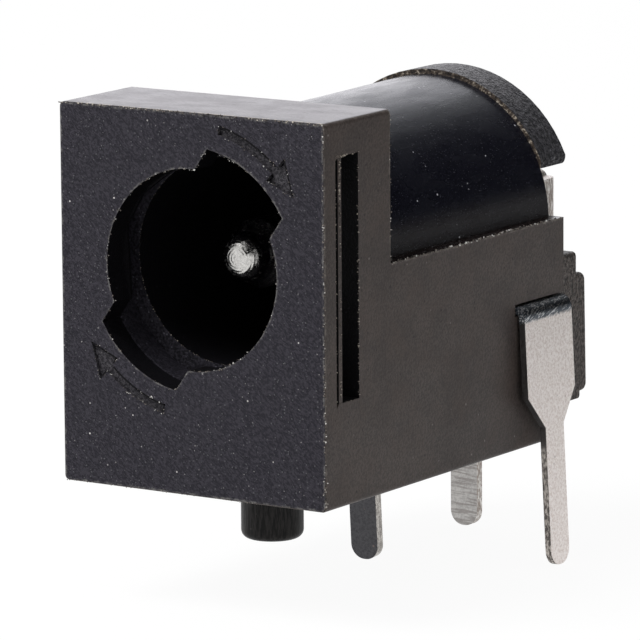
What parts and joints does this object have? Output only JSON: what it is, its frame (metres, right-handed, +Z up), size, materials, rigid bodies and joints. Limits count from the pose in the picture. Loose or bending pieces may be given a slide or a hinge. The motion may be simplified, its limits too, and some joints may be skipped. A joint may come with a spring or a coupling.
{
  "type": "dc barrel jack",
  "caption": "Right-angle circuit-board power jack with a twist-lock round mouth, centre pin, sleeve spring, side switch terminal and flat solder legs.",
  "frame": {"origin": "on the locating peg's axis, in the plane where the housing sits on the board", "axes": "+Z up from the board, +Y from the mouth towards the rear, +X to the right seen from the mouth"},
  "size_m": [0.0097, 0.0151, 0.0146],
  "materials": {
    "moulded_plastic": "fine spark-eroded moulding texture, polished on the barrel",
    "plated_pin": "turned and nickel plated",
    "tinned_sheet": "stamped sheet, matte tin plated"
  },
  "bodies": {
    "root": {"housing": "moulded_plastic", "center_pin": "plated_pin", "center_terminal": "tinned_sheet", "sleeve_spring": "tinned_sheet", "switch_terminal": "tinned_sheet"}
  },
  "joints": []
}
